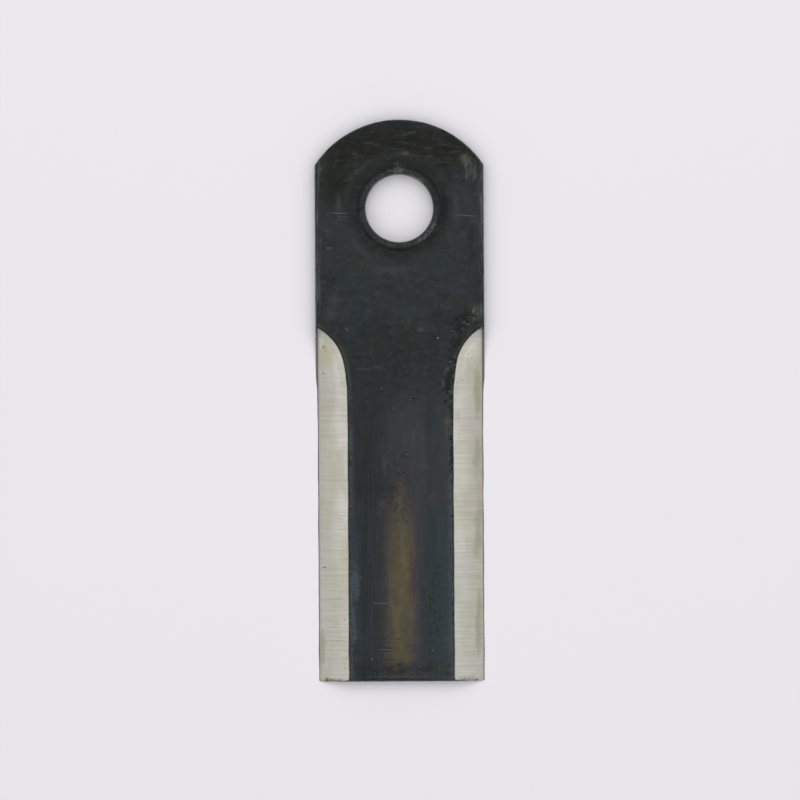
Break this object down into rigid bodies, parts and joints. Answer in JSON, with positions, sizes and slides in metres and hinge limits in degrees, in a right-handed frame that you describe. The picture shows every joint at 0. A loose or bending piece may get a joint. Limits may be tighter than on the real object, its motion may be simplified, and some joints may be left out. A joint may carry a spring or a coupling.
{
  "type": "straw chopper knife",
  "caption": "Flat steel flail knife with a round head, a drawn pivot hole with a raised collar, and a ground cutting facet along each long side.",
  "frame": {"origin": "on the axis of the pivot hole, halfway through the plate's thickness", "axes": "+Y along the blade from the tip to the crown of the head, +Z out of the ground front face along the hole's axis, +X across the blade"},
  "size_m": [0.05, 0.1663, 0.0048],
  "materials": {
    "hardened_steel": "heat-treated steel with dark scale and temper colours, bare where the facets are ground"
  },
  "bodies": {
    "root": {"knife_blade": "hardened_steel"}
  },
  "joints": []
}
